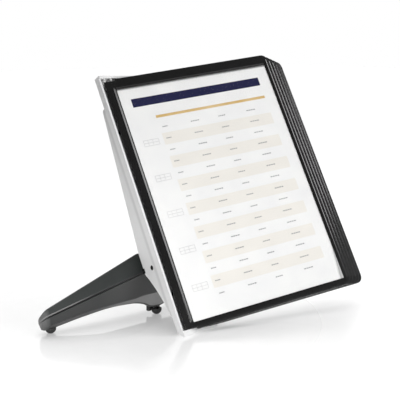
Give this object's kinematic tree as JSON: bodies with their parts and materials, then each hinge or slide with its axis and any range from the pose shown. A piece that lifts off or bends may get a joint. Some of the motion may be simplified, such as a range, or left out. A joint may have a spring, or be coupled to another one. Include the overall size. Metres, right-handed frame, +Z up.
{
  "type": "document holder",
  "caption": "Desktop document holder with turning display panels on a leaning metal holder and a splayed plastic base.",
  "frame": {"origin": "middle of the centre foot's contact face, on the floor and on the stand's symmetry plane", "axes": "+X to the reader's right, +Y to the back, away from the reader, +Z up"},
  "size_m": [0.3875, 0.2136, 0.3003],
  "materials": {
    "silver_metal": "satin",
    "steel": "satin",
    "dark_steel": "satin",
    "base_plastic": "satin",
    "foot_rubber": "matte",
    "frame_plastic": "satin",
    "clear_film": "satin",
    "bush_plastic": "matte",
    "paper": "matte"
  },
  "bodies": {
    "stand": {"holder_channel": "silver_metal", "top_pivot_strip": "silver_metal", "bottom_pivot_strip": "silver_metal", "spine_shell": "silver_metal", "spine_screws": "steel", "cross_pin": "dark_steel", "base_upper_shell": "base_plastic", "base_lower_shell": "base_plastic", "base_screws": "steel", "left_foot": "foot_rubber", "right_foot": "foot_rubber", "centre_foot": "foot_rubber"},
    "panel_1": {"panel_1_frame": "frame_plastic", "panel_1_front_film": "clear_film", "panel_1_rear_film": "clear_film", "panel_1_hinge_pins": "steel", "panel_1_hinge_bush": "bush_plastic"},
    "sheet_1": {"panel_1_sheet": "paper"},
    "panel_2": {"panel_2_frame": "frame_plastic", "panel_2_front_film": "clear_film", "panel_2_rear_film": "clear_film", "panel_2_hinge_pins": "steel", "panel_2_hinge_bush": "bush_plastic"},
    "sheet_2": {"panel_2_sheet": "paper"},
    "panel_3": {"panel_3_frame": "frame_plastic", "panel_3_front_film": "clear_film", "panel_3_rear_film": "clear_film", "panel_3_hinge_pins": "steel", "panel_3_hinge_bush": "bush_plastic"},
    "sheet_3": {"panel_3_sheet": "paper"},
    "panel_4": {"panel_4_frame": "frame_plastic", "panel_4_front_film": "clear_film", "panel_4_rear_film": "clear_film", "panel_4_hinge_pins": "steel", "panel_4_hinge_bush": "bush_plastic"},
    "sheet_4": {"panel_4_sheet": "paper"},
    "panel_5": {"panel_5_frame": "frame_plastic", "panel_5_front_film": "clear_film", "panel_5_rear_film": "clear_film", "panel_5_hinge_pins": "steel", "panel_5_hinge_bush": "bush_plastic"},
    "sheet_5": {"panel_5_sheet": "paper"}
  },
  "joints": [
    {"name": "panel_1_turn", "type": "hinge", "parent": "stand", "child": "panel_1", "pos_m": [-0.019, -0.084, 0], "axis": [0, -0.5, -0.866], "range_deg": [0, 150]},
    {"name": "sheet_1_slide", "type": "slide", "parent": "panel_1", "child": "sheet_1", "axis": [0.9686, -0.2154, 0.1243], "range_m": [0, 0.2]},
    {"name": "panel_2_turn", "type": "hinge", "parent": "stand", "child": "panel_2", "pos_m": [-0.0095, -0.08341, -0.00034], "axis": [0, -0.5, -0.866], "range_deg": [0, 150]},
    {"name": "sheet_2_slide", "type": "slide", "parent": "panel_2", "child": "sheet_2", "axis": [0.9732, -0.1992, 0.115], "range_m": [0, 0.2]},
    {"name": "panel_3_turn", "type": "hinge", "parent": "stand", "child": "panel_3", "pos_m": [0, -0.08282, -0.00068], "axis": [0, -0.5, -0.866], "range_deg": [0, 150]},
    {"name": "sheet_3_slide", "type": "slide", "parent": "panel_3", "child": "sheet_3", "axis": [0.9774, -0.183, 0.1057], "range_m": [0, 0.2]},
    {"name": "panel_4_turn", "type": "hinge", "parent": "stand", "child": "panel_4", "pos_m": [0.0095, -0.08222, -0.00103], "axis": [0, -0.5, -0.866], "range_deg": [0, 150]},
    {"name": "sheet_4_slide", "type": "slide", "parent": "panel_4", "child": "sheet_4", "axis": [0.9813, -0.1667, 0.0963], "range_m": [0, 0.2]},
    {"name": "panel_5_turn", "type": "hinge", "parent": "stand", "child": "panel_5", "pos_m": [0.019, -0.08163, -0.00137], "axis": [0, -0.5, -0.866], "range_deg": [0, 150]},
    {"name": "sheet_5_slide", "type": "slide", "parent": "panel_5", "child": "sheet_5", "axis": [0.9848, -0.1504, 0.0868], "range_m": [0, 0.2]}
  ],
  "couplings": [
    {"joint": "panel_2_turn", "follows": "panel_1_turn", "ratio": 0.85},
    {"joint": "panel_3_turn", "follows": "panel_1_turn", "ratio": 0.7},
    {"joint": "panel_4_turn", "follows": "panel_1_turn", "ratio": 0.55},
    {"joint": "panel_5_turn", "follows": "panel_1_turn", "ratio": 0.4}
  ]
}
